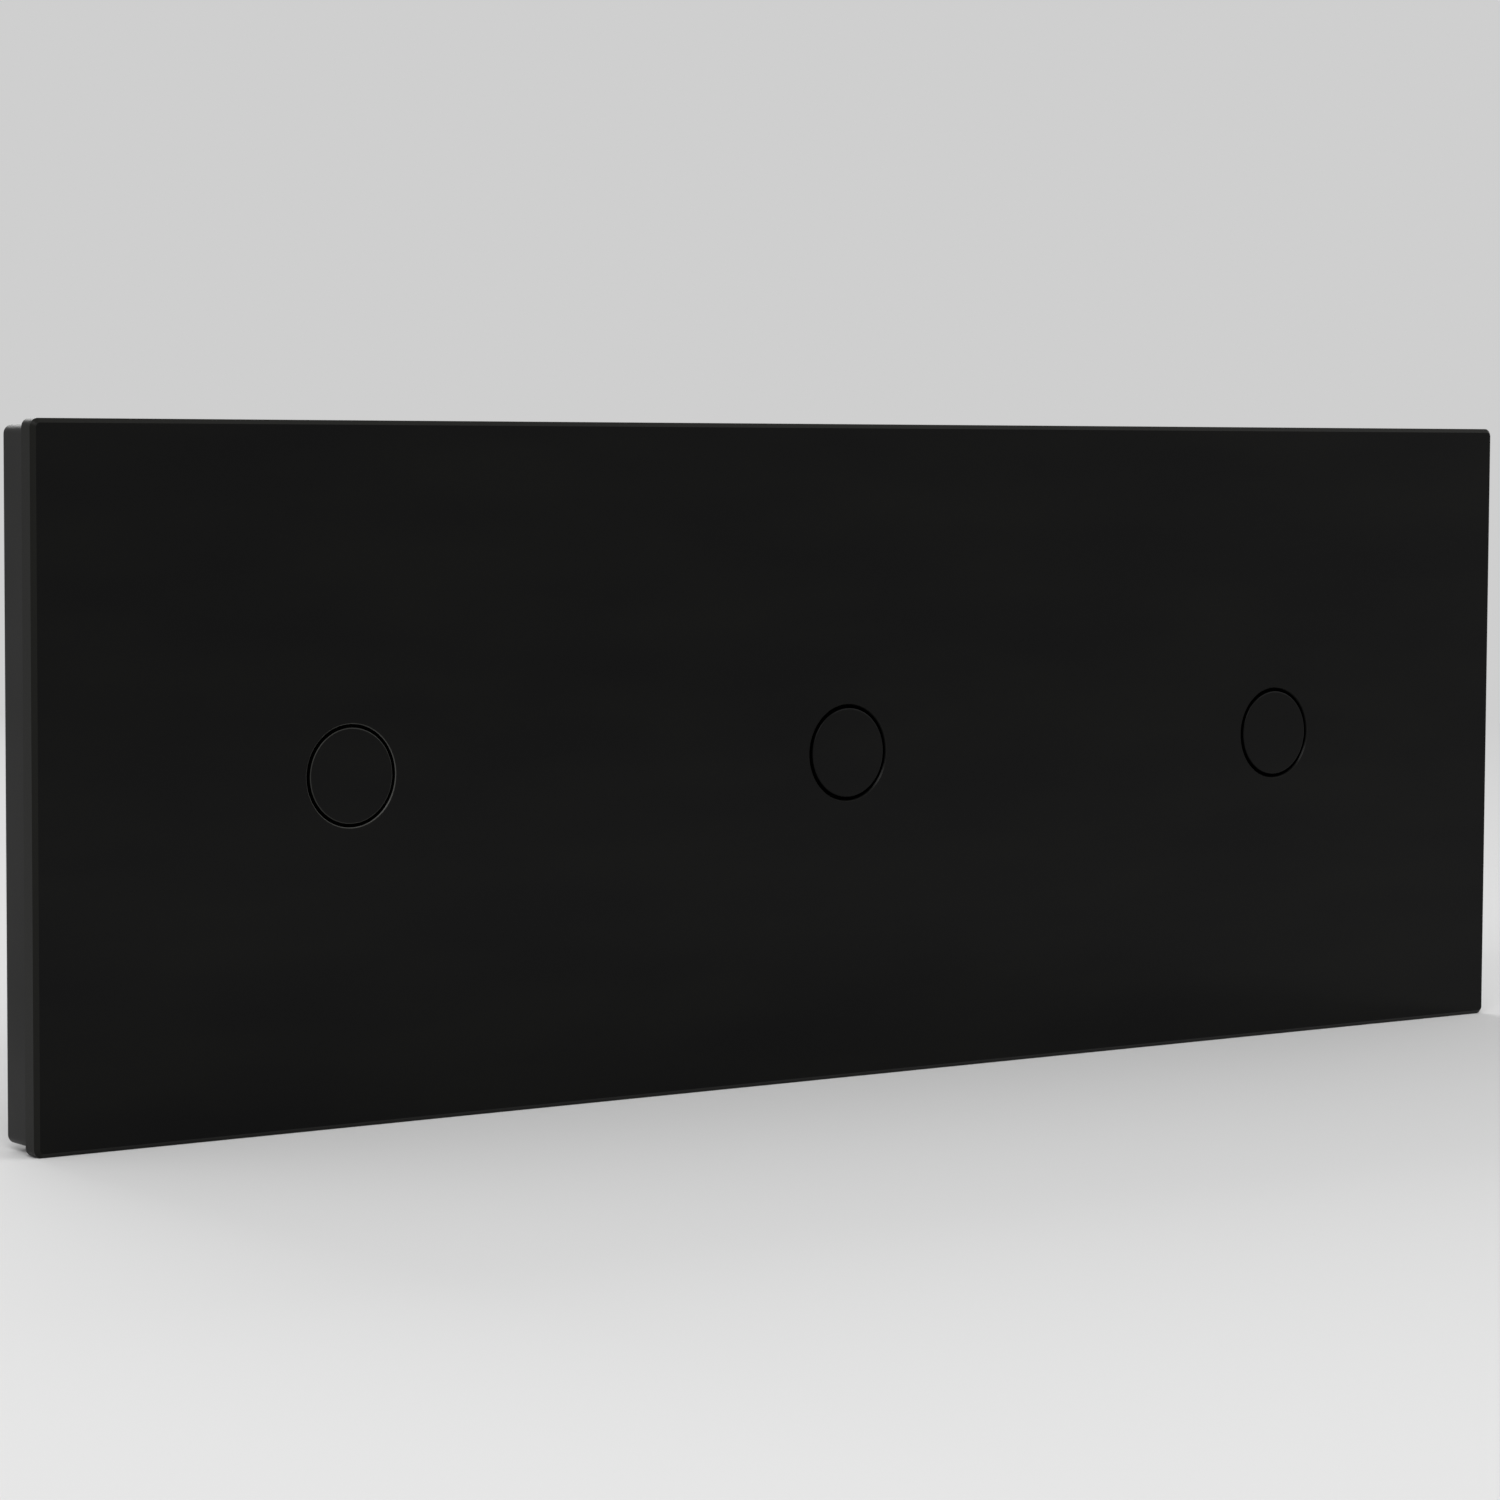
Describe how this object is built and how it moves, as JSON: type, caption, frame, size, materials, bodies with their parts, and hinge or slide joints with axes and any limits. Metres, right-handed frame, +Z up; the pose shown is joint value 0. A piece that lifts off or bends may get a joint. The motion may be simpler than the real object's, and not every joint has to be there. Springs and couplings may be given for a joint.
{
  "type": "three-gang push button switch",
  "caption": "Wall switch with flush round push buttons in a black glass panel, on a slim frame with flush-mounted inserts behind it.",
  "frame": {"origin": "on the wall plane, on the middle gang's axis, centre of its yoke's two box-screw slots", "axes": "+X to the right along the panel, +Y into the wall (the glass faces -Y), +Z up"},
  "size_m": [0.222, 0.0355, 0.08],
  "materials": {
    "glass_panel": "polished, black enamelled rear",
    "button_cap": "high gloss black",
    "panel_frame": "fine eroded black",
    "glass_adhesive": "foam tape",
    "contact_brass": "pressed brass with silver tips",
    "terminal_brass": "sawn and drilled brass",
    "screw_steel": "zinc plated",
    "plunger_acetal": "moulded acetal",
    "guide_acetal": "moulded acetal",
    "spring_steel": "drawn spring wire",
    "clip_steel": "pressed spring steel",
    "spring_bronze": "pressed phosphor bronze",
    "bridge_copper": "pressed copper with silver tips",
    "yoke_steel": "zinc plated sheet",
    "insert_cover": "moulded black",
    "insert_base": "moulded light grey"
  },
  "bodies": {
    "housing": {"glass_panel": "glass_panel", "glass_adhesive": "glass_adhesive", "panel_frame": "panel_frame", "fixed_contacts": "contact_brass", "terminal_clamps": "terminal_brass", "terminal_screws": "screw_steel", "return_spring_1": "spring_steel", "guide_carriage_1": "guide_acetal", "yoke_1": "yoke_steel", "insert_cover_1": "insert_cover", "insert_base_1": "insert_base", "return_spring_2": "spring_steel", "guide_carriage_2": "guide_acetal", "yoke_2": "yoke_steel", "insert_cover_2": "insert_cover", "insert_base_2": "insert_base", "return_spring_3": "spring_steel", "guide_carriage_3": "guide_acetal", "yoke_3": "yoke_steel", "insert_cover_3": "insert_cover", "insert_base_3": "insert_base"},
    "button_1": {"button_cap_1": "button_cap", "plunger_1": "plunger_acetal", "stem_clip_1": "clip_steel", "contact_spring_1": "spring_bronze"},
    "bridge_1": {"contact_bridge_1": "bridge_copper"},
    "button_2": {"button_cap_2": "button_cap", "plunger_2": "plunger_acetal", "stem_clip_2": "clip_steel", "contact_spring_2": "spring_bronze"},
    "bridge_2": {"contact_bridge_2": "bridge_copper"},
    "button_3": {"button_cap_3": "button_cap", "plunger_3": "plunger_acetal", "stem_clip_3": "clip_steel", "contact_spring_3": "spring_bronze"},
    "bridge_3": {"contact_bridge_3": "bridge_copper"}
  },
  "joints": [
    {"name": "button_1_press", "type": "slide", "parent": "housing", "child": "button_1", "axis": [0, 1, 0], "range_m": [0, 0.0015], "stiffness_N_per_m": 450, "springref_m": -0.0045, "deforming": ["return_spring_1", "contact_spring_1"]},
    {"name": "bridge_1_close", "type": "slide", "parent": "housing", "child": "bridge_1", "axis": [0, 1, 0], "range_m": [0, 0.0009]},
    {"name": "button_2_press", "type": "slide", "parent": "housing", "child": "button_2", "axis": [0, 1, 0], "range_m": [0, 0.0015], "stiffness_N_per_m": 450, "springref_m": -0.0045, "deforming": ["return_spring_2", "contact_spring_2"]},
    {"name": "bridge_2_close", "type": "slide", "parent": "housing", "child": "bridge_2", "axis": [0, 1, 0], "range_m": [0, 0.0009]},
    {"name": "button_3_press", "type": "slide", "parent": "housing", "child": "button_3", "axis": [0, 1, 0], "range_m": [0, 0.0015], "stiffness_N_per_m": 450, "springref_m": -0.0045, "deforming": ["return_spring_3", "contact_spring_3"]},
    {"name": "bridge_3_close", "type": "slide", "parent": "housing", "child": "bridge_3", "axis": [0, 1, 0], "range_m": [0, 0.0009]}
  ],
  "couplings": [
    {"joint": "bridge_1_close", "follows": "button_1_press", "ratio": 0.6},
    {"joint": "bridge_2_close", "follows": "button_2_press", "ratio": 0.6},
    {"joint": "bridge_3_close", "follows": "button_3_press", "ratio": 0.6}
  ]
}
